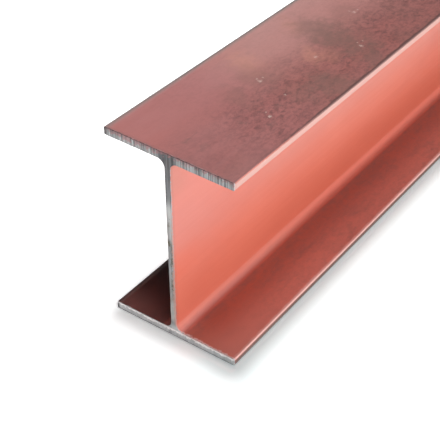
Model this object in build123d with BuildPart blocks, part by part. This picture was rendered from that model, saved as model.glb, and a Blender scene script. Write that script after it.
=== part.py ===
from build123d import *
import os

# Steel I-beam: one rolled piece with parallel flanges, sawn off square at both ends.
# Its length runs along X, the flanges spread along Y and the web stands along Z.
# The origin is at mid-length, under the middle of the lower flange.

# Rolled section
section_depth = 203.2
flange_width = 133.2
flange_thickness = 7.8
web_thickness = 5.7
root_radius = 7.6
toe_radius = 2.5

# Cut piece
beam_length = 1000.0
end_arris = 0.4

# The two roundings of a flange's edge leave some flat between them
toe_limit_share = 0.45

# Worked out from the sizes above
toe_rounding = min(toe_radius, toe_limit_share * flange_thickness)
lower_flange_height = flange_thickness / 2
upper_flange_height = section_depth - flange_thickness / 2
web_height = upper_flange_height - lower_flange_height

with BuildPart() as i_beam:
    with BuildSketch(Plane.YZ) as section:
        with Locations((0, lower_flange_height), (0, upper_flange_height)):
            Rectangle(flange_width, flange_thickness)
        with Locations((0, section_depth / 2)):
            Rectangle(web_thickness, web_height)

        # The corners stand in four columns: left toes, left roots, right roots, right toes
        left_toes, left_roots, right_roots, right_toes = section.vertices().group_by(Axis.X)
        fillet(left_roots + right_roots, radius=root_radius)
        toe_columns = section.vertices().group_by(Axis.X)
        fillet(toe_columns[0] + toe_columns[-1], radius=toe_rounding)
    extrude(amount=beam_length / 2, both=True)

    # The saw's sharp edge is broken all round both cut faces
    cut_faces = i_beam.faces().filter_by(Axis.X).sort_by(Axis.X)
    chamfer(cut_faces[0].edges() + cut_faces[-1].edges(), length=end_arris)

i_beam.part.label = "i_beam"

os.makedirs("parts", exist_ok=True)
export_step(i_beam.part, "parts/i_beam.step")
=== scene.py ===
import math
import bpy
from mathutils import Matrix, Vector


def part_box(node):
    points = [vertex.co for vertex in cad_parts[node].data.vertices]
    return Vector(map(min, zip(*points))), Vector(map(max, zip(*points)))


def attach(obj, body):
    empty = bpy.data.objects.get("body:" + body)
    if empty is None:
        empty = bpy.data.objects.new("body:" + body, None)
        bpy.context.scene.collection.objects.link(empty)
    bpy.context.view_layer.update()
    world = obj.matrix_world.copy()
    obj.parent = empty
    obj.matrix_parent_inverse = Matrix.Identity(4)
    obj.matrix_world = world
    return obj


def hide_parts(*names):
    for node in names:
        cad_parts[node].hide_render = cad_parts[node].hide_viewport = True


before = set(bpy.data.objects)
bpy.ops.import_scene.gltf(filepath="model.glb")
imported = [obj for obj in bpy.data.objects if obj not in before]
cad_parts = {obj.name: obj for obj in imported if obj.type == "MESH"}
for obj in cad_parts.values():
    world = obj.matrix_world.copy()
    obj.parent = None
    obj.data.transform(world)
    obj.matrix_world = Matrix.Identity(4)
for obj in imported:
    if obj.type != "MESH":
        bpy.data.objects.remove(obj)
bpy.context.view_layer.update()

from types import SimpleNamespace

import bmesh
import bpy
from mathutils import Matrix, Vector, noise

# A rolled steel I-beam: one piece, primed red along its length and bare where it was sawn off.
# It lies along X on the floor, flanges across Y, web up Z. Left is +Y, as seen from the near end.
# All sizes are in metres.

# The frame's own box
beam_low, beam_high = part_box("i_beam")

# Rolled section and cut piece
beam_length = beam_high.x - beam_low.x
flange_width = beam_high.y - beam_low.y
section_depth = beam_high.z - beam_low.z
near_end = beam_low.x
far_end = beam_high.x
flange_thickness = 0.0078
web_thickness = 0.0057
root_radius = 0.0076
toe_radius = 0.0012
end_arris = 0.0004
half_width = flange_width / 2
half_web = web_thickness / 2
root_centre_y = half_web + root_radius
root_centre_z = flange_thickness + root_radius
toe_centre_y = half_width - toe_radius
top_flange_underside = section_depth - flange_thickness
quarter_turn = math.pi / 2

# How finely the section and its length are divided
web_half_columns = 4
root_columns = 8
flat_columns = 84
flat_columns_per_rail = 7
toe_columns = 5
flange_rows = 6
web_rows = 44
web_rows_per_rail = 4
station_count = 120
first_station = 0.009
crease_angle = math.radians(32)

# Clear strip round the pieces of the rolled-out map
map_gap = 0.006

# Saw marks and chips at the cut ends, and the rolling mill's slight unevenness
groove_depth = 0.00022
groove_pitch = 0.0016
groove_run = 0.06
broad_groove_pitch = 8 * groove_pitch
broad_groove_run = 3 * groove_run
mean_groove_share = 0.5
fine_groove_share = 0.35
broad_groove_share = 0.15
chip_length = 0.0016
chip_pitch = 0.006
fine_chips_per_chip = 3
fine_chip_share = 0.5
chip_threshold = 0.3
toe_waver = 0.00006
face_waver = 0.00012
waver_length = 0.11

# Which layer of the noise each kind of unevenness reads, so that no two are alike
broad_groove_layer = 5
chip_layer = 11
top_face_layer = 21
web_layer = 31
inner_face_layer = 41
toe_layers = {"upper": 3.0, "lower": 9.0}
toe_side_layer = 2.5

# The saw drifted at the near end: true at the top, and out of square by this slope at the foot
saw_drift = 0.035
cut_set_back = saw_drift * half_width
cut_end = near_end + cut_set_back

# The first column of each group, counted from the middle of the web, and the last column of all
root_start = web_half_columns
flat_start = root_start + root_columns
toe_start = flat_start + flat_columns
last_column = toe_start + toe_columns

# Which material slot of the beam holds which finish
primer_slot = 0
bare_slot = 1

# Where the camera stands, in degrees, metres and pixels of the photo
camera_azimuth = -53.24
camera_elevation = 38.70
camera_roll = -0.15
camera_distance = 0.8614
aim_right = 0.0425
aim_up = 0.0268
focal_length_px = 1007.2
photo_width_px = 440
sensor_width_mm = 36.0
view_reach = 200.0

# Floor, and the light levels of the floor and the room
floor_reach = 30.0
floor_drop = 0.0001
floor_glow = 0.18
# Extra glow of the floor on the beam's left, which paints its shadow there lighter
left_glow = 0.28
room_level = 0.030
horizon_level = 0.80
wall_level = 0.65
wall_direction = (0.55, -0.83, 0)

# Soft lights: place, aim, width, height, power in watts, spread in degrees
soft_lights = {
    "side_softbox": ((near_end + 0.05, -1.7, 0.13), (near_end + 0.25, 0, 0.10), 1.8, 0.24, 31, 180),
    "top_softbox": ((near_end + 0.10, 0.036, 2.2), (near_end + 0.10, 0.036, 0.20), 0.20, 0.20, 37, 180),
    "corner_softbox": ((near_end - 0.20, -0.32, 2.1), (near_end, -0.05, 0.10), 0.25, 0.25, 5, 180),
    "front_softbox": ((near_end - 1.6, -0.1, 0.12), (near_end, 0, 0.10), 0.8, 0.16, 3, 180),
    "back_softbox": ((far_end - 0.05, 1.3, 0.12), (far_end - 0.05, 0, 0.10), 0.4, 0.3, 4, 60),
}

# Colours of the primer
coat_dark = (0.612, 0.130, 0.077)
coat_light = (0.664, 0.152, 0.091)
streak_red = (0.50, 0.105, 0.072)
low_web_shade_red = (0.46, 0.080, 0.041)
weathered_red = (0.382, 0.089, 0.072)
shaded_root_red = (0.62, 0.105, 0.055)
shaded_red = (0.40, 0.16, 0.11)
warm_red = (0.64, 0.105, 0.052)
lower_toe_wear_and_highlight = (0.80, 0.48, 0.44)
upper_toe_wear_and_highlight = (0.60, 0.36, 0.31)

# How strongly the primer reflects
primer_ior = 1.85

# Colours of what lies on the primer or shows through it, and of light and shade painted on it
near_dust_and_sheen = (0.50, 0.388, 0.435)
far_dust_and_sheen = (0.50, 0.380, 0.365)
toe_chalk_and_light = (0.82, 0.40, 0.36)
top_grime = (0.170, 0.066, 0.066)
grime_tint = (0.43, 0.44, 0.45)
corner_shade_and_dirt = (0.22, 0.130, 0.124)
greyed_flange = (0.38, 0.25, 0.26)
near_left_shade = (0.12, 0.057, 0.066)
far_left_shade = (0.040, 0.036, 0.037)
warm_patch_colour = (0.58, 0.25, 0.17)
smudge_colour = (0.182, 0.092, 0.074)
spot_colour = (0.19, 0.085, 0.075)
knock_colour = (0.62, 0.48, 0.42)
speck_colour = (0.62, 0.47, 0.42)
arris_shade = (0.085, 0.037, 0.034)
foot_shade = (0.065, 0.053, 0.046)
shaded_lower_arris = (0.045, 0.038, 0.036)
shaded_upper_arris = (0.17, 0.160, 0.150)
dull_end = (0.22, 0.105, 0.100)
chalky_end = (0.90, 0.75, 0.75)
bare_side = (0.42, 0.42, 0.43)
bare_top = (0.36, 0.235, 0.230)

# Colours of the sawn steel
groove_dark = (0.06, 0.062, 0.068)
fine_groove_dark = (0.15, 0.15, 0.16)
web_steel = (0.46, 0.475, 0.47)
flange_steel = (0.68, 0.68, 0.68)
bright_steel = (0.66, 0.64, 0.60)
low_web_steel = (0.62, 0.59, 0.55)
web_left_dark = (0.20, 0.20, 0.22)
web_edge_dark = (0.20, 0.20, 0.21)
dull_tint = (0.34, 0.34, 0.36)
tarnish_brown = (0.20, 0.155, 0.125)
pit_dark = (0.10, 0.095, 0.09)
smeared_primer = (0.27, 0.13, 0.135)
burr_and_shade_dark = (0.055, 0.053, 0.052)
chip_dark = (0.095, 0.085, 0.060)
web_rim_dust = (0.50, 0.32, 0.28)
flange_rim_dust_and_highlight = (0.98, 0.94, 0.93)

# Colours of the floor, and the white of lit floor and room, which has its alpha with it
floor_grey = (0.20, 0.20, 0.20)
floor_by_primer = (0.745, 0.895, 0.905)
floor_pale = (0.87, 0.87, 0.87)
white = (1, 1, 1, 1)

# Marks on the open top: distance from the cut and place across, half length and half width, turn, strength
warm_patches = (
    ((0.154, 0.032), (0.033, 0.019), -1.16, 0.30),
    ((0.201, -0.007), (0.023, 0.012), -0.91, 0.35),
    ((0.212, -0.021), (0.022, 0.013), -0.91, 0.18),
    ((0.238, 0.040), (0.026, 0.014), -0.92, 0.20),
    ((0.530, -0.020), (0.040, 0.020), -0.80, 0.30),
    ((0.800, 0.030), (0.044, 0.018), -0.40, 0.30),
)
smudges = (
    ((0.243, 0.017), (0.044, 0.029), -1.14, 0.50),
    ((0.243, -0.013), (0.049, 0.031), -1.11, 0.60),
    ((0.233, -0.048), (0.039, 0.022), -1.13, 0.48),
    ((0.325, -0.036), (0.037, 0.023), 1.42, 0.14),
    ((0.284, -0.059), (0.030, 0.019), -1.07, 0.22),
    ((0.256, -0.036), (0.028, 0.017), -1.10, 0.36),
    ((0.288, 0.012), (0.034, 0.024), -1.10, 0.26),
    ((0.018, -0.057), (0.034, 0.018), 0.0, 0.15),
    ((0.171, -0.049), (0.038, 0.026), 1.49, 0.60),
    ((0.141, 0.010), (0.034, 0.026), -1.48, 0.32),
    ((0.141, -0.041), (0.036, 0.021), 1.49, 0.30),
    ((0.102, 0.004), (0.031, 0.018), -1.38, 0.28),
    ((0.470, 0.020), (0.070, 0.040), -0.5, 0.50),
    ((0.610, -0.030), (0.064, 0.032), 0.4, 0.55),
    ((0.745, 0.024), (0.080, 0.030), -0.2, 0.45),
    ((0.880, -0.012), (0.056, 0.050), 0.6, 0.50),
)
spots_and_scratches = (
    ((0.0240, -0.001), (0.0066, 0.0044), 0.0, 0.34),
    ((0.0250, -0.018), (0.0074, 0.0050), 0.0, 0.42),
    ((0.0720, -0.022), (0.0070, 0.0048), 0.0, 0.44),
    ((0.0840, -0.044), (0.0076, 0.0052), 0.0, 0.34),
    ((0.1120, -0.032), (0.0072, 0.0050), 0.0, 0.40),
    ((0.0312, -0.0012), (0.0150, 0.0011), -0.07, 0.45),
    ((0.0144, 0.0021), (0.0100, 0.0010), 0.51, 0.30),
    ((0.3900, 0.0200), (0.0240, 0.0010), 0.20, 0.40),
    ((0.5600, -0.0300), (0.0180, 0.0011), -0.35, 0.40),
    ((0.6700, 0.0340), (0.0260, 0.0010), 0.15, 0.35),
    ((0.8300, -0.0400), (0.0200, 0.0010), 0.45, 0.40),
)

# How far a mark on the top reaches down
mark_depth = 0.02

# Pale knocks on the open top: distance from the cut and place across, radius
knocks = (
    ((0.1354, 0.0040), 0.0027),
    ((0.1373, 0.0085), 0.0012),
    ((0.1426, 0.0057), 0.0013),
    ((0.0933, -0.0350), 0.0025),
    ((0.0973, -0.0287), 0.0012),
    ((0.1299, -0.0261), 0.0015),
    ((0.2008, -0.0122), 0.0025),
    ((0.2432, -0.0351), 0.0025),
    ((0.2469, -0.0291), 0.0012),
    ((0.2522, -0.0314), 0.0014),
    ((0.2974, 0.0047), 0.0028),
    ((0.2963, 0.0097), 0.0014),
    ((0.3040, 0.0047), 0.0014),
)
knock_strength = 0.55

# Dark chips in the near end of the web: place across and height, half width and half height, strength
web_chips = (
    ((0.0008, 0.1100), (0.0050, 0.0056), 0.95),
    ((-0.0017, 0.1010), (0.0024, 0.0062), 0.75),
    ((-0.0016, 0.0885), (0.0029, 0.0084), 0.92),
    ((-0.0018, 0.0750), (0.0023, 0.0052), 0.75),
    ((-0.0014, 0.0615), (0.0030, 0.0084), 0.95),
    ((0.0012, 0.1290), (0.0024, 0.0046), 0.70),
    ((-0.0019, 0.0470), (0.0020, 0.0064), 0.72),
)

# How far a chip in the web reaches along the beam
web_chip_depth = 0.01


# Section of the beam

def half_flange(inset):
    """Columns of half a flange from mid-web out to the toe, each as (y, outer z, inner z)."""
    web_side = half_web - inset
    root = root_radius + inset
    toe = toe_radius - inset
    inner = flange_thickness - inset
    columns = []
    for step in range(web_half_columns):
        columns.append((web_side * step / web_half_columns, inset, root_centre_z))
    for step in range(root_columns):
        turn = quarter_turn * (1 - step / root_columns)
        y = root_centre_y - root * math.sin(turn)
        columns.append((y, inset, root_centre_z - root * math.cos(turn)))
    for step in range(flat_columns):
        y = root_centre_y + (toe_centre_y - root_centre_y) * step / flat_columns
        columns.append((y, inset, inner))
    for step in range(toe_columns + 1):
        turn = quarter_turn * step / toe_columns
        drop = toe * (1 - math.cos(turn))
        columns.append((toe_centre_y + toe * math.sin(turn), inset + drop, inner - drop))
    return columns


def web_key(column, row):
    """The grid point of a web row; the first and last rows belong to the flanges."""
    if row == 0:
        return ("lower", column, flange_rows)
    if row == web_rows:
        return ("upper", column, flange_rows)
    return ("web", column, row)


def section_points(inset):
    """Every grid point of the section as (y, z), drawn in from the outline by the inset."""
    half = half_flange(inset)
    clear_height = section_depth - 2 * root_centre_z
    points = {}
    for column in range(-last_column, last_column + 1):
        y, outer, inner = half[abs(column)]
        y = math.copysign(y, column)
        for row in range(flange_rows + 1):
            z = outer + (inner - outer) * row / flange_rows
            points["lower", column, row] = (y, z)
            points["upper", column, row] = (y, section_depth - z)
        if abs(column) <= root_start:
            for row in range(1, web_rows):
                points["web", column, row] = (y, root_centre_z + clear_height * row / web_rows)
    return points


def section_outline():
    """The keys of the outline in order, once round the section."""
    last = last_column
    side = root_start
    keys = [("lower", column, 0) for column in range(-last, last)]
    keys += [("lower", last, row) for row in range(flange_rows)]
    keys += [("lower", column, flange_rows) for column in range(last, side, -1)]
    keys += [web_key(side, row) for row in range(web_rows)]
    keys += [("upper", column, flange_rows) for column in range(side, last)]
    keys += [("upper", last, row) for row in range(flange_rows, 0, -1)]
    keys += [("upper", column, 0) for column in range(last, -last, -1)]
    keys += [("upper", -last, row) for row in range(flange_rows)]
    keys += [("upper", column, flange_rows) for column in range(-last, -side)]
    keys += [web_key(-side, row) for row in range(web_rows, 0, -1)]
    keys += [("lower", column, flange_rows) for column in range(-side, -last, -1)]
    keys += [("lower", -last, row) for row in range(flange_rows, 0, -1)]
    return keys


def section_quads():
    """The section's grid cells, each as four keys."""
    quads = []
    for part in ("lower", "upper"):
        for column in range(-last_column, last_column):
            for row in range(flange_rows):
                quads.append(((part, column, row), (part, column + 1, row),
                              (part, column + 1, row + 1), (part, column, row + 1)))
    for column in range(-root_start, root_start):
        for row in range(web_rows):
            quads.append((web_key(column, row), web_key(column + 1, row),
                          web_key(column + 1, row + 1), web_key(column, row + 1)))
    return quads


def is_rail(key):
    """Whether this point of the outline runs on along the beam."""
    part, column, row = key
    column = abs(column)
    if part == "web":
        return row % web_rows_per_rail == 0
    if column == last_column:
        return row in (0, flange_rows // 2, flange_rows)
    if column >= toe_start:
        return True
    if column >= flat_start:
        return (column - flat_start) % flat_columns_per_rail == 0
    if row == flange_rows:
        return True
    return column in (0, root_start)


# Unevenness of the steel

def wander(*place):
    """Smooth noise from -1 to 1."""
    return noise.noise(Vector(place))


def dip(*place):
    """Smooth noise from 0 to 1."""
    return 0.5 + 0.5 * wander(*place)


def saw_groove(y, z, end):
    """How deep the saw cut at this point of an end, never above the true face."""
    fine = wander(y / groove_pitch, z / groove_run, end)
    broad = wander(y / broad_groove_pitch, z / broad_groove_run, broad_groove_layer + end)
    return groove_depth * (mean_groove_share + fine_groove_share * fine + broad_groove_share * broad)


def drift_at(y, z, end):
    """How far back along the beam the saw's drift sets this point of an end."""
    if end < 0:
        return 0.0
    return cut_set_back - saw_drift * (1 - z / section_depth) * y


def edge_chip(y, z, end):
    """How far a chip runs back along the beam from the cut edge."""
    ragged = wander(y / chip_pitch, z / chip_pitch, chip_layer + end)
    fine_y = fine_chips_per_chip * y / chip_pitch
    fine_z = fine_chips_per_chip * z / chip_pitch
    ragged += fine_chip_share * wander(fine_y, fine_z, end)
    return chip_length * max(0.0, ragged - chip_threshold)


def rolled_point(key, x, y, z):
    """A point of the long faces, a little off its true place. The underside stays flat on the floor."""
    part, column, row = key
    along = x / waver_length
    across = 2 * y / waver_length
    if abs(column) > toe_start:
        sink = toe_waver * dip(2 * along, toe_layers[part], math.copysign(toe_side_layer, column))
        y -= math.copysign(sink, column)
    elif part == "upper" and row == 0:
        z -= face_waver * dip(along, across, top_face_layer)
    elif part == "web":
        y += face_waver * wander(along, 2 * z / waver_length, web_layer)
    elif row == flange_rows and abs(column) >= flat_start:
        z += face_waver * wander(along, across, inner_face_layer)
    return (x, y, z)


# Mesh of the beam

def new_object(name, data):
    """An object linked into the scene."""
    made = bpy.data.objects.new(name, data)
    bpy.context.scene.collection.objects.link(made)
    return made


def build_beam():
    """The whole beam as one closed mesh, with a map that rolls its long faces out flat."""
    true_points = section_points(0.0)
    cut_points = section_points(end_arris)
    outline = section_outline()
    whole_turn = len(outline)
    mesh = bmesh.new()
    chart = mesh.loops.layers.uv.new("OFBake")

    # Distance round the outline, for the rolled-out map
    rolled_out = [0.0]
    for here, after in zip(outline, outline[1:] + outline[:1]):
        step = Vector(true_points[after]) - Vector(true_points[here])
        rolled_out.append(rolled_out[-1] + step.length)
    girth = rolled_out[-1]
    map_size = max(girth + flange_width + 3 * map_gap, beam_length + 2 * map_gap)
    ends_on_map = girth + map_gap + half_width

    # The rails, and the stretch of the outline from each to the next
    rails = [number for number, key in enumerate(outline) if is_rail(key)]
    stretches = []
    for rail, start in enumerate(rails):
        next_rail = (rail + 1) % len(rails)
        stop = rails[next_rail] if next_rail else rails[0] + whole_turn
        stretches.append((rail, next_rail, start, stop))

    def way_round(number):
        """Distance round the outline to a point, counting on after a whole turn."""
        turns, rest = divmod(number, whole_turn)
        return turns * girth + rolled_out[rest]

    def add_face(corners, places, slot):
        face = mesh.faces.new(corners)
        face.material_index = slot
        face.smooth = True
        for loop, (across, along) in zip(face.loops, places):
            loop[chart].uv = ((across + map_gap) / map_size, (along + map_gap) / map_size)

    def add_long_face(corners, numbers, slot):
        """A face whose corners lie on these points of the outline, each at its own place along the beam."""
        places = [(way_round(number), corner.co.x - near_end) for number, corner in zip(numbers, corners)]
        add_face(corners, places, slot)

    def add_band(ring_a, ring_b, slot):
        """Quads between two rings that have every point of the outline."""
        for number in range(whole_turn):
            after = (number + 1) % whole_turn
            corners = (ring_a[number], ring_a[after], ring_b[after], ring_b[number])
            add_long_face(corners, (number, number + 1, number + 1, number), slot)

    def add_fan(ring, rail_ring, slot):
        """Triangles between a ring with every point and one with the rails alone."""
        for rail, next_rail, start, stop in stretches:
            left = rail_ring[rail]
            right = rail_ring[next_rail]
            middle = (start + stop) // 2
            for number in range(start, stop):
                tip, tip_number = (left, start) if number < middle else (right, stop)
                corners = (ring[number % whole_turn], ring[(number + 1) % whole_turn], tip)
                add_long_face(corners, (number, number + 1, tip_number), slot)
            add_long_face((ring[middle % whole_turn], right, left), (middle, stop, start), slot)

    # Long faces, from station to station
    rail_keys = [outline[number] for number in rails]
    rail_rings = []
    for station in range(station_count + 1):
        x = near_end + first_station + (beam_length - 2 * first_station) * station / station_count
        rail_rings.append([mesh.verts.new(rolled_point(key, x, *true_points[key])) for key in rail_keys])
    for ring_a, ring_b in zip(rail_rings, rail_rings[1:]):
        for rail, next_rail, start, stop in stretches:
            corners = (ring_a[rail], ring_a[next_rail], ring_b[next_rail], ring_b[rail])
            add_long_face(corners, (start, stop, stop, start), primer_slot)

    # Sawn ends, each with its cut face, its arris and the first stretch of the long faces
    for end, inward, rail_ring in ((near_end, 1, rail_rings[0]), (far_end, -1, rail_rings[-1])):
        cut = {}
        for key, (y, z) in cut_points.items():
            depth = saw_groove(y, z, inward) + drift_at(y, z, inward)
            cut[key] = mesh.verts.new((end + inward * depth, y, z))
        rim = []
        for key in outline:
            y, z = true_points[key]
            depth = end_arris + edge_chip(y, z, inward) + drift_at(y, z, inward)
            rim.append(mesh.verts.new((end + inward * depth, y, z)))
        add_band([cut[key] for key in outline], rim, bare_slot)
        add_fan(rim, rail_ring, primer_slot)
        shelf = 0.0 if inward > 0 else section_depth + map_gap
        for keys in section_quads():
            corners = [cut[key] for key in keys]
            places = [(ends_on_map + corner.co.y, shelf + corner.co.z) for corner in corners]
            add_face(corners, places, bare_slot)

    bmesh.ops.recalc_face_normals(mesh, faces=mesh.faces)
    data = bpy.data.meshes.new("rolled_beam")
    mesh.to_mesh(data)
    mesh.free()
    data.set_sharp_from_angle(angle=crease_angle)
    return new_object("rolled_beam", data)


# Building of materials

class Value:
    """A node's output. Sums of it are written as with plain numbers, and each adds a node."""

    def __init__(self, tree, socket):
        self.tree = tree
        self.socket = socket

    def calc(self, operation, *terms):
        return output(self.tree, "Math", dict(enumerate(terms)), operation=operation)

    def __add__(self, other):
        return self.calc("ADD", self, other)

    def __sub__(self, other):
        return self.calc("SUBTRACT", self, other)

    def __rsub__(self, other):
        return self.calc("SUBTRACT", other, self)

    def __mul__(self, other):
        return self.calc("MULTIPLY", self, other)

    def __truediv__(self, other):
        return self.calc("DIVIDE", self, other)

    def __abs__(self):
        return self.calc("ABSOLUTE", self)

    def or_more(self, other):
        return self.calc("MAXIMUM", self, other)

    def or_less(self, other):
        return self.calc("MINIMUM", self, other)

    def below(self, other):
        return self.calc("LESS_THAN", self, other)

    def clamped(self):
        """The same sum, held between 0 and 1."""
        self.socket.node.use_clamp = True
        return self

    def ease(self, start, stop, low=0.0, high=1.0):
        """Eased from low, where this value is at start, to high, where it is at stop."""
        inputs = {"Value": self, "From Min": start, "From Max": stop, "To Min": low, "To Max": high}
        return output(self.tree, "MapRange", inputs, "Result", interpolation_type="SMOOTHSTEP")

    def fade(self, start, stop, level=1.0):
        """Eased from a level at start to nothing at stop."""
        return self.ease(start, stop, level, 0.0)

    def band(self, rise, fall, level=1.0):
        """Eased in over the rise and out again over the fall, each a start and a stop."""
        return self.ease(*rise) * self.fade(*fall, level)


def feed(socket, value):
    """Links a socket to a node's output, or sets it to a plain number, vector or colour."""
    if isinstance(value, Value):
        value.tree.links.new(value.socket, socket)
    else:
        socket.default_value = value


def put(tree, kind, inputs=None, **settings):
    """Adds a node with its settings and inputs."""
    made = tree.nodes.new("ShaderNode" + kind)
    for name, value in settings.items():
        setattr(made, name, value)
    for name, value in (inputs or {}).items():
        feed(made.inputs[name], value)
    return made


def output(tree, kind, inputs=None, pick=0, **settings):
    """One output of a new node."""
    return Value(tree, put(tree, kind, inputs, **settings).outputs[pick])


def outputs(tree, kind, inputs=None):
    """Every output of a new node, by its name."""
    return {socket.name: Value(tree, socket) for socket in put(tree, kind, inputs).outputs}


# The sockets of a Mix node go by number, because their names repeat

def lay(under, over, share, how="MIX"):
    """One colour laid over another by a share; a plain colour has three numbers."""
    under, over = [side if isinstance(side, Value) else (*side, 1) for side in (under, over)]
    inputs = {0: share, 6: under, 7: over}
    return output(share.tree, "Mix", inputs, 2, data_type="RGBA", blend_type=how)


def between(first, second, share):
    """A value that goes from the first to the second by a share."""
    return output(share.tree, "Mix", {0: share, 2: first, 3: second})


def vector_sum(operation, first, second=(0, 0, 0)):
    """One sum of two vectors."""
    return output(first.tree, "VectorMath", {0: first, 1: second}, operation=operation)


def length_of(vector):
    """How long a vector is."""
    return output(vector.tree, "VectorMath", {0: vector}, "Value", operation="LENGTH")


def noise_over(place, scale, detail, roughness=0.5, distortion=0.0, pick=0):
    """Noise over a place, with its scale per metre."""
    inputs = {"Vector": place, "Scale": scale, "Detail": detail, "Roughness": roughness,
              "Distortion": distortion}
    return output(place.tree, "TexNoise", inputs, pick)


# Effects that the finishes share, each a node group

def new_group(name, takes, gives):
    """An empty node group that reads a place and named values; returns it with its inner ends."""
    group = bpy.data.node_groups.new(name, "ShaderNodeTree")
    group.interface.new_socket("Place", in_out="INPUT", socket_type="NodeSocketVector")
    for label, value in takes.items():
        kind = "NodeSocketVector" if isinstance(value, tuple) else "NodeSocketFloat"
        socket = group.interface.new_socket(label, in_out="INPUT", socket_type=kind)
        socket.default_value = value
    for label in gives:
        group.interface.new_socket(label, in_out="OUTPUT", socket_type="NodeSocketFloat")
    entry = group.nodes.new("NodeGroupInput")
    leave = group.nodes.new("NodeGroupOutput")
    take = {label: Value(group, entry.outputs[label]) for label in ("Place", *takes)}
    return group, take, leave.inputs


def use_group(group, place, **inputs):
    """Puts a group into the material of this place; input names have _ for a space."""
    made = place.tree.nodes.new("ShaderNodeGroup")
    made.node_tree = group
    feed(made.inputs["Place"], place)
    for name, value in inputs.items():
        feed(made.inputs[name.replace("_", " ")], value)
    return {socket.name: Value(place.tree, socket) for socket in made.outputs}


def make_grain():
    """Streaks drawn out along one direction, from brushing or sawing."""
    group, take, give = new_group(
        "Drawn grain", {"Stretch": (4, 300, 300), "Roughness": 0.6}, ["Tone", "Height"])
    scaled = vector_sum("MULTIPLY", take["Place"], take["Stretch"])
    broad = noise_over(scaled, scale=1.0, detail=3.0, roughness=take["Roughness"])
    fine = noise_over(scaled, scale=3.7, detail=5.0, roughness=take["Roughness"])
    tone = broad * 0.6 + fine * 0.4
    feed(give["Tone"], tone.ease(0.36, 0.64))
    feed(give["Height"], fine)
    return group


def make_cloud():
    """Soft blotches with a ragged edge."""
    group, take, give = new_group(
        "Cloudy stain", {"Stretch": (12, 12, 12), "Start": 0.45, "Full": 0.65}, ["Mask"])
    scaled = vector_sum("MULTIPLY", take["Place"], take["Stretch"])
    cloud = noise_over(scaled, scale=1.0, detail=6.0, roughness=0.62, distortion=0.4)
    feed(give["Mask"], cloud.ease(take["Start"], take["Full"]))
    return group


def make_specks():
    """Small scattered specks of uneven size."""
    group, take, give = new_group(
        "Specks", {"Cells per metre": 100.0, "Size": 0.2, "Share": 0.3}, ["Mask"])
    ragged = noise_over(take["Place"], scale=900.0, detail=2.0, pick="Color")
    shift = output(group, "VectorMath", {0: ragged, "Scale": 0.002}, operation="SCALE")
    moved = vector_sum("ADD", take["Place"], shift)
    cells = outputs(group, "TexVoronoi", {"Vector": moved, "Scale": take["Cells per metre"]})
    dice = outputs(group, "SeparateColor", {0: cells["Color"]})
    reach = take["Size"] * dice["Red"]
    inside = cells["Distance"].fade(reach * 0.4, reach)
    feed(give["Mask"], inside * dice["Green"].below(take["Share"]))
    return group


def make_broken_edge():
    """Wear that reaches in from an edge by an uneven distance."""
    group, take, give = new_group(
        "Broken edge",
        {"Distance": 1.0, "Reach": 0.002, "Raggedness": 0.5, "Grain per metre": 250.0},
        ["Mask"])
    ragged = noise_over(take["Place"], take["Grain per metre"], detail=4.0, roughness=0.65)
    share = ragged.ease(0.32, 0.68, -1.0, 1.0) * take["Raggedness"] + 1.0
    reach = take["Reach"] * share
    feed(give["Mask"], take["Distance"].fade(reach * 0.55, reach))
    return group


def make_patch():
    """One stain at a given place, with given half sizes, turned about the upright."""
    group, take, give = new_group(
        "Placed patch",
        {"Centre": (0, 0, 0), "Turn": 0.0, "Reach": (0.01, 0.01, 0.01), "Raggedness": 0.5,
         "Grain per metre": 60.0},
        ["Mask"])
    offset = vector_sum("SUBTRACT", take["Place"], take["Centre"])
    turned = output(group, "VectorRotate", {"Vector": offset, "Angle": take["Turn"]}, rotation_type="Z_AXIS")
    away = length_of(vector_sum("DIVIDE", turned, take["Reach"]))
    ragged = noise_over(take["Place"], take["Grain per metre"], detail=5.0, roughness=0.65)
    pushed = ragged.ease(0.3, 0.7, -1.0, 1.0) * take["Raggedness"] + away
    feed(give["Mask"], pushed.fade(0.15, 1.0))
    return group


# One of each group, for all the finishes
drawn_grain = make_grain()
cloudy_stain = make_cloud()
scattered_specks = make_specks()
broken_edge = make_broken_edge()
placed_patch = make_patch()


def clouds(place, stretch, start, full):
    """Soft blotches, by how many there are to a metre each way."""
    return use_group(cloudy_stain, place, Stretch=stretch, Start=start, Full=full)["Mask"]


def specks_over(place, cells, size, share):
    """Small specks, by the cells to a metre and the share of cells that hold one."""
    return use_group(scattered_specks, place, Cells_per_metre=cells, Size=size, Share=share)["Mask"]


def worn_from(place, distance, reach, raggedness, grain):
    """Wear that reaches in from where the distance is nothing."""
    return use_group(broken_edge, place, Distance=distance, Reach=reach, Raggedness=raggedness,
                     Grain_per_metre=grain)["Mask"]


def new_surface(name):
    """A new material with its shader, and where on its object each point lies."""
    material = bpy.data.materials.new(name)
    material.use_nodes = True
    tree = material.node_tree
    tree.nodes.clear()
    shader = put(tree, "BsdfPrincipled")
    shown = put(tree, "OutputMaterial")
    tree.links.new(shader.outputs[0], shown.inputs["Surface"])
    place = output(tree, "TexCoord", pick="Object")
    along, across, height = outputs(tree, "SeparateXYZ", {0: place}).values()
    return SimpleNamespace(material=material, tree=tree, shader=shader, place=place,
                           along=along, across=across, height=height)


def feed_shader(on, inputs):
    """Feeds the sockets of a surface's shader."""
    for name, value in inputs.items():
        feed(on.shader.inputs[name], value)


# Red-oxide primer

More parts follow.
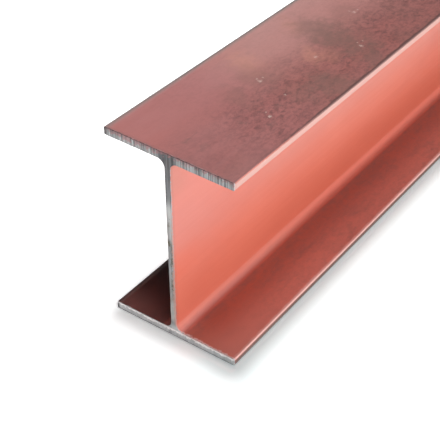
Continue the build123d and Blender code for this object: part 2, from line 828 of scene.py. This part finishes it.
def find_faces(on):
    """Which face of the beam each point of the primer lies on."""
    on.from_end = on.along - near_end
    on.from_cut = on.along - cut_end
    on.off_web = abs(on.across)
    normal = output(on.tree, "NewGeometry", pick="Normal")
    on.normal_up = outputs(on.tree, "SeparateXYZ", {0: normal})["Z"]
    facing_up = on.normal_up.ease(0.35, 0.95)
    on.upper_half = on.height.ease(0.10, 0.19)
    on.lower_half = 1.0 - on.upper_half
    on.open_top = facing_up * on.upper_half
    on.lower_top = facing_up - on.open_top
    on.flat_lower = on.lower_top * on.off_web.ease(0.0108, 0.0140)
    on.in_root = on.normal_up.band((0.05, 0.40), (0.97, 0.999)) * on.lower_half
    on.web_side = on.normal_up.fade(0.02, 0.20)
    on.left_side = on.across.ease(-0.050, 0.055)
    on.far_left = on.left_side * on.from_end.ease(0.05, 0.22)


def lay_coats(on):
    """Uneven coats with faint brush streaks, painted shade low on the web and weathered on the open top."""
    coats = clouds(on.place, stretch=(7, 16, 16), start=0.30, full=0.70)
    paint = lay(coat_dark, coat_light, coats)
    on.streaks = use_group(drawn_grain, on.place, Stretch=(5, 240, 240), Roughness=0.65)
    paint = lay(paint, streak_red, on.streaks["Tone"] * 0.08)
    # Deeper, darker red low on the web towards the root, less of it by the cut and more further on: painted
    # shade
    low_web_shade = on.height.fade(0.012, 0.075, 0.55) * on.normal_up.fade(0.30, 0.85)
    low_web_shade = low_web_shade * on.from_end.ease(0.02, 0.14, 0.74, 1.0) * on.from_end.ease(0.12, 0.22, 1.0, 1.25)
    paint = lay(paint, low_web_shade_red, low_web_shade)
    return lay(paint, weathered_red, on.open_top * 0.8)


def lay_dust_and_painted_light(on, paint):
    """Dust, thickest on the open top's far left and thin on the web and in the root; painted highlight high
    on the web and in the root, and painted light with chalky dust by the lower toes and the cut.
    """
    drift = clouds(on.place, stretch=(9, 20, 20), start=0.30, full=0.72)
    top_dust = on.left_side * 0.06 + 0.135 - on.left_side * on.from_end.fade(0.01, 0.06, 0.035)
    top_dust = (top_dust + on.far_left * 0.20 + drift * 0.05) * on.open_top
    # Paler paint high on the web, most by the cut: painted highlight, with dust and haze
    web_dust_and_sheen = on.from_end.fade(0.02, 0.14, 0.09) * on.height.ease(0.075, 0.135, 0.10, 1.0)
    further_on = on.from_end.ease(0.08, 0.17)
    haze = on.height.ease(0.085, 0.112) * further_on
    web_dust_and_sheen = (web_dust_and_sheen + on.height.ease(0.055, 0.105, 0.0, 0.05) + haze * 0.105) * on.web_side
    # Paler paint in the lower part of the root and on the flange beside it: painted highlight, with dust
    root_dust_and_sheen = on.in_root * on.normal_up.ease(0.60, 0.95, 0.0, 0.10)
    root_dust_and_sheen = root_dust_and_sheen + on.lower_top * on.off_web.fade(0.0105, 0.021, 0.085)
    root_dust_and_sheen = root_dust_and_sheen + on.lower_top * on.off_web.band((0.0082, 0.0098), (0.0110, 0.0126), 0.11)
    on.dusty = (top_dust + (web_dust_and_sheen + root_dust_and_sheen)).clamped()
    dust_and_sheen_colour = lay(near_dust_and_sheen, far_dust_and_sheen, further_on)
    paint = lay(paint, dust_and_sheen_colour, on.dusty)
    # Lighter paint on the lower flange towards the toes and by the cut: painted light, with chalky dust
    toe_dust_and_light = on.lower_top * on.off_web.ease(0.020, 0.060, 0.0, 0.40)
    toe_dust_and_light = toe_dust_and_light + on.lower_top * on.from_end.fade(0.01, 0.11, 0.07)
    return lay(paint, toe_chalk_and_light, toe_dust_and_light)


def lay_tones(on, paint):
    """Redder, darker paint in the root further on as painted shade, and by the cut a shaded stretch of the
    web and a warm one.
    """
    # Painted shade deep in the root, further from the cut
    paint = lay(paint, shaded_root_red, on.in_root * on.from_end.ease(0.13, 0.24, 0.0, 0.55))
    shaded_end = on.height.ease(0.150, 0.172) * on.from_cut.fade(0.004, 0.035, 0.32)
    paint = lay(paint, shaded_red, shaded_end * on.web_side)
    warm_end = on.height.band((0.058, 0.076), (0.086, 0.106)) * on.from_cut.fade(0.015, 0.055, 0.45)
    return lay(paint, warm_red, warm_end * on.web_side)


def rub_in_grime_and_shade(on, paint):
    """Grime rubbed into the open top, in fine mottles on its right; painted shade with stains on the lower
    flange.
    """
    mottle = clouds(on.place, stretch=(40, 64, 64), start=0.36, full=0.68)
    flecks = clouds(on.place, stretch=(100, 150, 150), start=0.46, full=0.64)
    grit = clouds(on.place, stretch=(230, 340, 340), start=0.42, full=0.62)
    right_side = on.across.ease(-0.026, 0.030, 1.0, 0.22)
    film = mottle * 0.13 + on.across.ease(-0.060, -0.020, 0.23, 0.21)
    film = film + on.from_end.ease(0.22, 0.34, 0.0, 0.03)
    film = film * right_side + on.far_left.fade(0.0, 1.0, 0.14)
    paint = lay(paint, top_grime, film * on.open_top)
    marks = (flecks * 0.44 + grit * 0.46) * on.from_end.ease(0.03, 0.10, 0.42, 1.0) * right_side
    paint = lay(paint, grime_tint, marks * on.open_top, "MULTIPLY")

    # Painted shade in the corner of the lower flange, deepest by the web and further from the cut and lighter
    # by the cut, with stains and specks in it; and a greyed strip along the middle of it
    stain = clouds(on.place, stretch=(26, 60, 60), start=0.42, full=0.68)
    corner = on.off_web.fade(0.014, 0.050, 0.26) + stain * 0.24 + on.from_end.ease(0.08, 0.26, 0.0, 0.17)
    corner = corner + flecks * 0.14 + grit * 0.10
    kept = on.from_end.ease(0.02, 0.12, 0.15, 1.0).or_more(on.off_web.fade(0.018, 0.038))
    paint = lay(paint, corner_shade_and_dirt, corner * kept * on.flat_lower)
    mid_flange = on.off_web.band((0.020, 0.032), (0.042, 0.052), 0.095)
    paint = lay(paint, greyed_flange, mid_flange * on.flat_lower)

    # Painted shade on the left lower flange, darkest a little way in from the cut and fading further on
    left_lower = on.flat_lower * on.across.ease(0.0, 0.02) * on.from_end.ease(0.004, 0.065, 0.48, 0.93)
    left_lower = left_lower * on.from_end.ease(0.09, 0.24, 1.0, 0.22)
    left_shade_colour = lay(near_left_shade, far_left_shade, on.from_end.ease(0.02, 0.075))
    return lay(paint, left_shade_colour, left_lower)


def lay_marks(on, paint, marks, colour, raggedness, grain):
    """Marks of one kind, each at its own place on the open top."""
    for (from_cut, y), reach, turn, strength in marks:
        mask = use_group(placed_patch, on.place, Centre=(cut_end + from_cut, y, section_depth), Turn=turn,
                         Reach=(*reach, mark_depth), Raggedness=raggedness, Grain_per_metre=grain)["Mask"]
        paint = lay(paint, colour, mask * on.open_top * strength)
    return paint


def mark_top(on, paint):
    """Warm patches, grey-brown smudges, dark spots and scratches, pale knocks and specks on the open top."""
    round_knocks = [(place, (radius, radius), 0.0, knock_strength) for place, radius in knocks]
    paint = lay_marks(on, paint, warm_patches, warm_patch_colour, raggedness=0.26, grain=95.0)
    paint = lay_marks(on, paint, smudges, smudge_colour, raggedness=0.26, grain=95.0)
    paint = lay_marks(on, paint, spots_and_scratches, spot_colour, raggedness=0.4, grain=260.0)
    paint = lay_marks(on, paint, round_knocks, knock_colour, raggedness=0.5, grain=600.0)
    on.scatter = specks_over(on.place, cells=34.0, size=0.09, share=0.22) * (on.open_top * 0.45)
    return lay(paint, speck_colour, on.scatter)


def toe_wear_highlight_and_shade(on, paint):
    """Toes with a pale band of wear and painted highlight, and painted shade over the upper arris, at the
    foot and on the left arris.
    """
    toe_distance = half_width - on.off_web
    up_toe = (on.height - on.upper_half * top_flange_underside) / flange_thickness
    toe_reach = on.upper_half.ease(0.0, 1.0, 0.0033, 0.0026)
    on_toe = worn_from(on.place, toe_distance, reach=toe_reach, raggedness=0.15, grain=120.0)
    by_toe = worn_from(on.place, toe_distance, reach=0.0032, raggedness=0.30, grain=60.0)
    # A dark line along the upper arris of the top flange's toes: painted shade
    arris_shading = by_toe * up_toe.ease(0.66, 0.86) * (on.from_end.ease(0.03, 0.14, 0.25, 0.85) * on.upper_half)
    paint = lay(paint, arris_shade, arris_shading)
    # A pale band rubbed on each toe, which is also a painted highlight; faint on the left lower toe
    pale_foot = up_toe + on.upper_half * 0.66
    under_arris = up_toe.ease(0.72, 0.88) * on.upper_half
    pale_side = on.upper_half.or_more(on.across.ease(0.0, 0.01, 1.0, 0.12))
    pale = pale_foot.ease(0.72, 0.84) * (1.0 - under_arris) * on_toe * pale_side
    toe_wear_and_highlight = lay(lower_toe_wear_and_highlight, upper_toe_wear_and_highlight, on.upper_half)
    paint = lay(paint, toe_wear_and_highlight, pale * 0.78)
    # A dark line at the foot of the lower flange's toes, where they meet the floor: painted shade
    on.at_foot = up_toe.fade(0.64, 0.78) * on_toe * on.lower_half
    paint = lay(paint, foot_shade, on.at_foot * 0.88)
    # A dark line along the left toes' outer arris: painted shade
    on.left_arris = on.across.ease(0.0595, 0.0655) * up_toe.ease(0.55, 0.80)
    arris_colour = lay(shaded_lower_arris, shaded_upper_arris, on.upper_half)
    return lay(paint, arris_colour, on.left_arris * 0.75)


def break_back_ends(on, paint):
    """Primer broken back from the sawn ends: dull, then chalky at the lower right edge, then bare steel."""
    lean = (1.0 - on.height / section_depth) * saw_drift
    near_gap = on.from_cut + lean * on.across
    end_distance = near_gap.or_less(far_end - on.along)
    paint = lay(paint, dull_end, end_distance.fade(0.0008, 0.0055, 0.25) * (1.0 - on.lower_top))
    lower_right = on.lower_top * on.across.fade(-0.012, -0.004)
    chalk_reach = lower_right.ease(0.0, 1.0, 0.0012, 0.0030)
    chalk = worn_from(on.place, end_distance, reach=chalk_reach, raggedness=0.35, grain=220.0)
    paint = lay(paint, chalky_end, chalk * lower_right.ease(0.0, 1.0, 0.20, 0.90))
    on.bare_end = worn_from(on.place, end_distance, reach=0.0010, raggedness=0.9, grain=420.0)
    bare_steel = lay(bare_side, bare_top, on.open_top)
    return lay(paint, bare_steel, on.bare_end)


def make_primer():
    """Red-oxide primer: satin where it is clean, duller under dust, bare metal where it is broken."""
    on = new_surface("red_oxide_primer")
    find_faces(on)
    paint = lay_coats(on)
    paint = lay_dust_and_painted_light(on, paint)
    paint = lay_tones(on, paint)
    paint = rub_in_grime_and_shade(on, paint)
    paint = mark_top(on, paint)
    paint = toe_wear_highlight_and_shade(on, paint)
    paint = break_back_ends(on, paint)
    roughness = on.dusty * 0.45 + on.streaks["Tone"] * 0.06 + on.at_foot * 0.5 + on.in_root * 0.28
    roughness = (roughness + on.left_arris * 0.55 + 0.37).clamped()
    peel = noise_over(on.place, scale=900.0, detail=3.0)
    relief = peel * 0.5 + on.streaks["Height"] * 0.5 - on.scatter
    bump = output(on.tree, "Bump", {"Height": relief, "Strength": 0.3, "Distance": 0.0002})
    feed_shader(on, {"Base Color": paint, "Roughness": roughness, "Metallic": on.bare_end, "Normal": bump,
                     "IOR": primer_ior})
    return on.material


# Sawn steel

def saw_steel(on):
    """Steel with upright grooves, deep on the web and the top flange and faint on the lower one."""
    on.grooves = use_group(drawn_grain, on.place, Stretch=(60, 440, 10), Roughness=0.7)
    fine_grooves = use_group(drawn_grain, on.place, Stretch=(60, 1700, 18), Roughness=0.6)
    lower_flange = on.height.fade(0.008, 0.020)
    tone = between(on.grooves["Tone"], 1.0, lower_flange.ease(0.0, 1.0, 0.0, 0.75))
    light_steel = lay(web_steel, flange_steel, lower_flange)
    steel = lay(groove_dark, light_steel, tone)
    fine_share = lower_flange.ease(0.0, 1.0, 0.38, 0.10)
    return lay(steel, fine_groove_dark, fine_grooves["Tone"] * fine_share)


def shade_web(on, steel):
    """Bright and dark stretches of the web, a dull one under the top flange, tarnish and pits."""
    steel = lay(steel, bright_steel, on.height.band((0.104, 0.118), (0.144, 0.158)) * 0.24)
    steel = lay(steel, low_web_steel, on.height.band((0.014, 0.022), (0.036, 0.066)) * 0.42)
    web_left = on.across.ease(-0.0008, 0.0024) * on.height.band((0.070, 0.100), (0.140, 0.152), 0.50)
    steel = lay(steel, web_left_dark, web_left)
    steel = lay(steel, web_edge_dark, on.across.band((0.0018, 0.0029), (0.0050, 0.0070), 0.4))
    on_flange = on.height.ease(top_flange_underside - 0.010, top_flange_underside)
    by_web = abs(on.across).ease(0.005, 0.015, 1.0, 0.10)
    dull = on.height.ease(0.146, 0.160) * between(0.80, by_web, on_flange)
    steel = lay(steel, dull_tint, dull, "MULTIPLY")
    tarnish = clouds(on.place, stretch=(60, 160, 40), start=0.40, full=0.66)
    web_foot = on.height.band((0.030, 0.050), (0.075, 0.115))
    steel = lay(steel, tarnish_brown, tarnish * web_foot.ease(0.0, 1.0, 0.18, 0.55))
    pits = specks_over(on.place, cells=240.0, size=0.30, share=0.25)
    return lay(steel, pit_dark, pits * 0.5)


def burr_and_shade_edges(on, steel):
    """Smeared primer and dark burr along the top edge, and painted shade along the bottom and at the left
    toes.
    """
    top_gap = section_depth - on.height
    smear_reach = on.across.ease(0.0, 0.02, 0.0030, 0.0042)
    smear = worn_from(on.place, top_gap, reach=smear_reach, raggedness=0.9, grain=330.0)
    steel = lay(steel, smeared_primer, smear * 0.75)
    burr = top_gap.fade(0.0010, 0.0050) * on.grooves["Tone"].fade(0.28, 0.56)
    burr = burr * top_gap.ease(0.0002, 0.0012, 0.35, 1.0)
    # Dark along the bottom edge and at the left toes: painted shade
    foot = worn_from(on.place, on.height, reach=0.0012, raggedness=0.25, grain=120.0)
    left_toe = on.across.ease(half_width - 0.0042, half_width - 0.0012)
    on.dark_rim = (burr * 0.92).or_more(foot * 0.95).or_more(left_toe * 0.9)
    return lay(steel, burr_and_shade_dark, on.dark_rim)


def chip_web(on, steel):
    """Dark chips in the near end of the web."""
    for (y, z), (wide, tall), strength in web_chips:
        mask = use_group(placed_patch, on.place, Centre=(cut_end, y, z), Reach=(web_chip_depth, wide, tall),
                         Raggedness=0.45, Grain_per_metre=500.0)["Mask"]
        steel = lay(steel, chip_dark, mask * strength)
    return steel


def dust_and_highlight_rims(on, steel):
    """Pink-white primer dust along the lower flange's upper rim, which is also a painted highlight, and down
    the web's right side.
    """
    # The near-white rim of the lower flange is a painted highlight, with primer dust
    on_lower = on.height.fade(0.0076, 0.0090)
    rim_gap = flange_thickness - on.height
    flange_rim = worn_from(on.place, rim_gap, reach=0.0024, raggedness=0.75, grain=180.0) * on_lower
    web_gap = on.across + half_web
    web_rim = worn_from(on.place, web_gap, reach=0.0015, raggedness=0.8, grain=130.0)
    web_rim = web_rim * on.height.band((0.010, 0.016), (0.130, 0.150)) * 0.85
    on.rim = flange_rim.or_more(web_rim)
    rim_colour = lay(web_rim_dust, flange_rim_dust_and_highlight, on_lower)
    return lay(steel, rim_colour, on.rim * 0.9)


def make_sawn_steel():
    """Bare steel straight from the saw: grooved, bright and dull in stretches, chipped, with primer dust at
    its rims, and painted highlight and shade at its edges.
    """
    on = new_surface("sawn_steel")
    steel = saw_steel(on)
    steel = shade_web(on, steel)
    steel = burr_and_shade_edges(on, steel)
    steel = chip_web(on, steel)
    steel = dust_and_highlight_rims(on, steel)
    roughness = (on.grooves["Tone"] * 0.16 + 0.34 + on.rim * 0.2).clamped()
    metal = 0.95 - on.dark_rim * 0.8
    bump = output(on.tree, "Bump", {"Height": on.grooves["Height"], "Strength": 0.5, "Distance": 0.0003})
    feed_shader(on, {"Base Color": steel, "Roughness": roughness, "Metallic": metal, "Normal": bump})
    return on.material


# Stage: floor, light and camera

def make_floor():
    """A wide pale floor that shows white to the eye and still takes the beam's shadow."""
    data = bpy.data.meshes.new("studio_floor")
    sides = ((-1, -1), (1, -1), (1, 1), (-1, 1))
    corners = [(floor_reach * x, floor_reach * y, -floor_drop) for x, y in sides]
    data.from_pydata(corners, [], [(0, 1, 2, 3)])
    floor = new_object("studio_floor", data)
    on = new_surface("pale_floor")
    rays = outputs(on.tree, "LightPath")
    seen = rays["Is Camera Ray"].or_more(rays["Is Glossy Ray"]).or_more(rays["Is Transmission Ray"])

    # Distance from the beam's footprint
    beside = vector_sum("SUBTRACT", vector_sum("ABSOLUTE", on.place), (beam_length / 2, half_width, 0))
    from_beam = length_of(vector_sum("MAXIMUM", beside))

    # A cool tint close by on the right, where the primer throws its red on the floor, and plain elsewhere
    plain = on.across.ease(-0.062, -0.012).or_more(on.along.fade(near_end - 0.03, near_end + 0.03, 0.45))
    plain = plain.or_more(from_beam.ease(0.013, 0.030))
    seen_colour = lay(floor_by_primer, floor_pale, plain)
    floor_colour = lay(floor_grey, seen_colour, seen)

    # Glow that turns the floor white away from the beam. Close by, a dip in the glow paints a trailing
    # shadow, strongest on the right, while a lift at the very foot and more glow on the left paint the shadow
    # lighter
    glow = from_beam.ease(0.02, 0.50, floor_glow, 1.0) + from_beam.fade(0.001, 0.0045, 0.04)
    painted_shadow_tail = from_beam.band((0.0025, 0.006), (0.014, 0.032), 0.066) * on.across.ease(-0.066, -0.030, 1.0, 0.5)
    glow = glow - painted_shadow_tail + on.across.ease(0.055, 0.075, 0.0, left_glow)
    feed_shader(on, {"Base Color": floor_colour, "Emission Strength": seen * glow, "Emission Color": white,
                     "Roughness": 0.9, "Specular IOR Level": 0.0})
    floor.data.materials.append(on.material)


def make_softbox(name, place, aim, width, height, power, spread):
    """A rectangular soft light at a place, turned to its aim, not seen by the camera itself."""
    lamp = bpy.data.lights.new(name, "AREA")
    lamp.shape = "RECTANGLE"
    lamp.size = width
    lamp.size_y = height
    lamp.energy = power
    lamp.spread = math.radians(spread)
    box = new_object(name, lamp)
    box.location = place
    box.rotation_mode = "QUATERNION"
    box.rotation_quaternion = (Vector(aim) - Vector(place)).to_track_quat("-Z", "Y")
    box.visible_camera = False


def make_world():
    """A dim room, pale along the horizon, with a pale wall standing higher to the right."""
    world = bpy.data.worlds.new("studio_room")
    world.use_nodes = True
    tree = world.node_tree
    tree.nodes.clear()
    direction = output(tree, "TexCoord", pick="Generated")
    rise = outputs(tree, "SeparateXYZ", {0: direction})["Z"]
    to_wall = output(tree, "VectorMath", {0: direction, 1: wall_direction}, "Value", operation="DOT_PRODUCT")
    wall = to_wall.ease(0.25, 0.75) * rise.fade(0.45, 0.80, wall_level)
    level = wall.or_more(rise.ease(0.04, 0.11, horizon_level, room_level))
    back = put(tree, "Background", {"Color": white, "Strength": level})
    shown = put(tree, "OutputWorld")
    tree.links.new(back.outputs[0], shown.inputs["Surface"])
    bpy.context.scene.world = world


def make_camera():
    """The camera stands before the near end, to the right of it and above."""
    turn = math.radians(camera_azimuth)
    rise = math.radians(camera_elevation)
    back = Vector((math.sin(turn) * math.cos(rise), -math.cos(turn) * math.cos(rise), math.sin(rise)))
    right = Vector((math.cos(turn), math.sin(turn), 0))
    up = back.cross(right)
    aim = Vector((cut_end, 0, section_depth / 2)) + aim_right * right + aim_up * up
    tilt = Matrix.Rotation(math.radians(camera_roll), 4, "Z")
    stand = Matrix((right, up, back)).transposed().to_4x4() @ tilt
    stand.translation = aim + camera_distance * back
    data = bpy.data.cameras.new("photo_camera")
    data.sensor_width = sensor_width_mm
    data.lens = sensor_width_mm * focal_length_px / photo_width_px
    data.clip_end = view_reach
    camera = new_object("photo_camera", data)
    camera.matrix_world = stand
    bpy.context.scene.camera = camera


# The scene

make_camera()
beam = build_beam()
beam.data.materials.append(make_primer())
beam.data.materials.append(make_sawn_steel())
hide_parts("i_beam")
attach(beam, "root")

make_floor()
make_world()
for light_name, light in soft_lights.items():
    make_softbox(light_name, *light)

bpy.context.scene.view_settings.view_transform = "Standard"
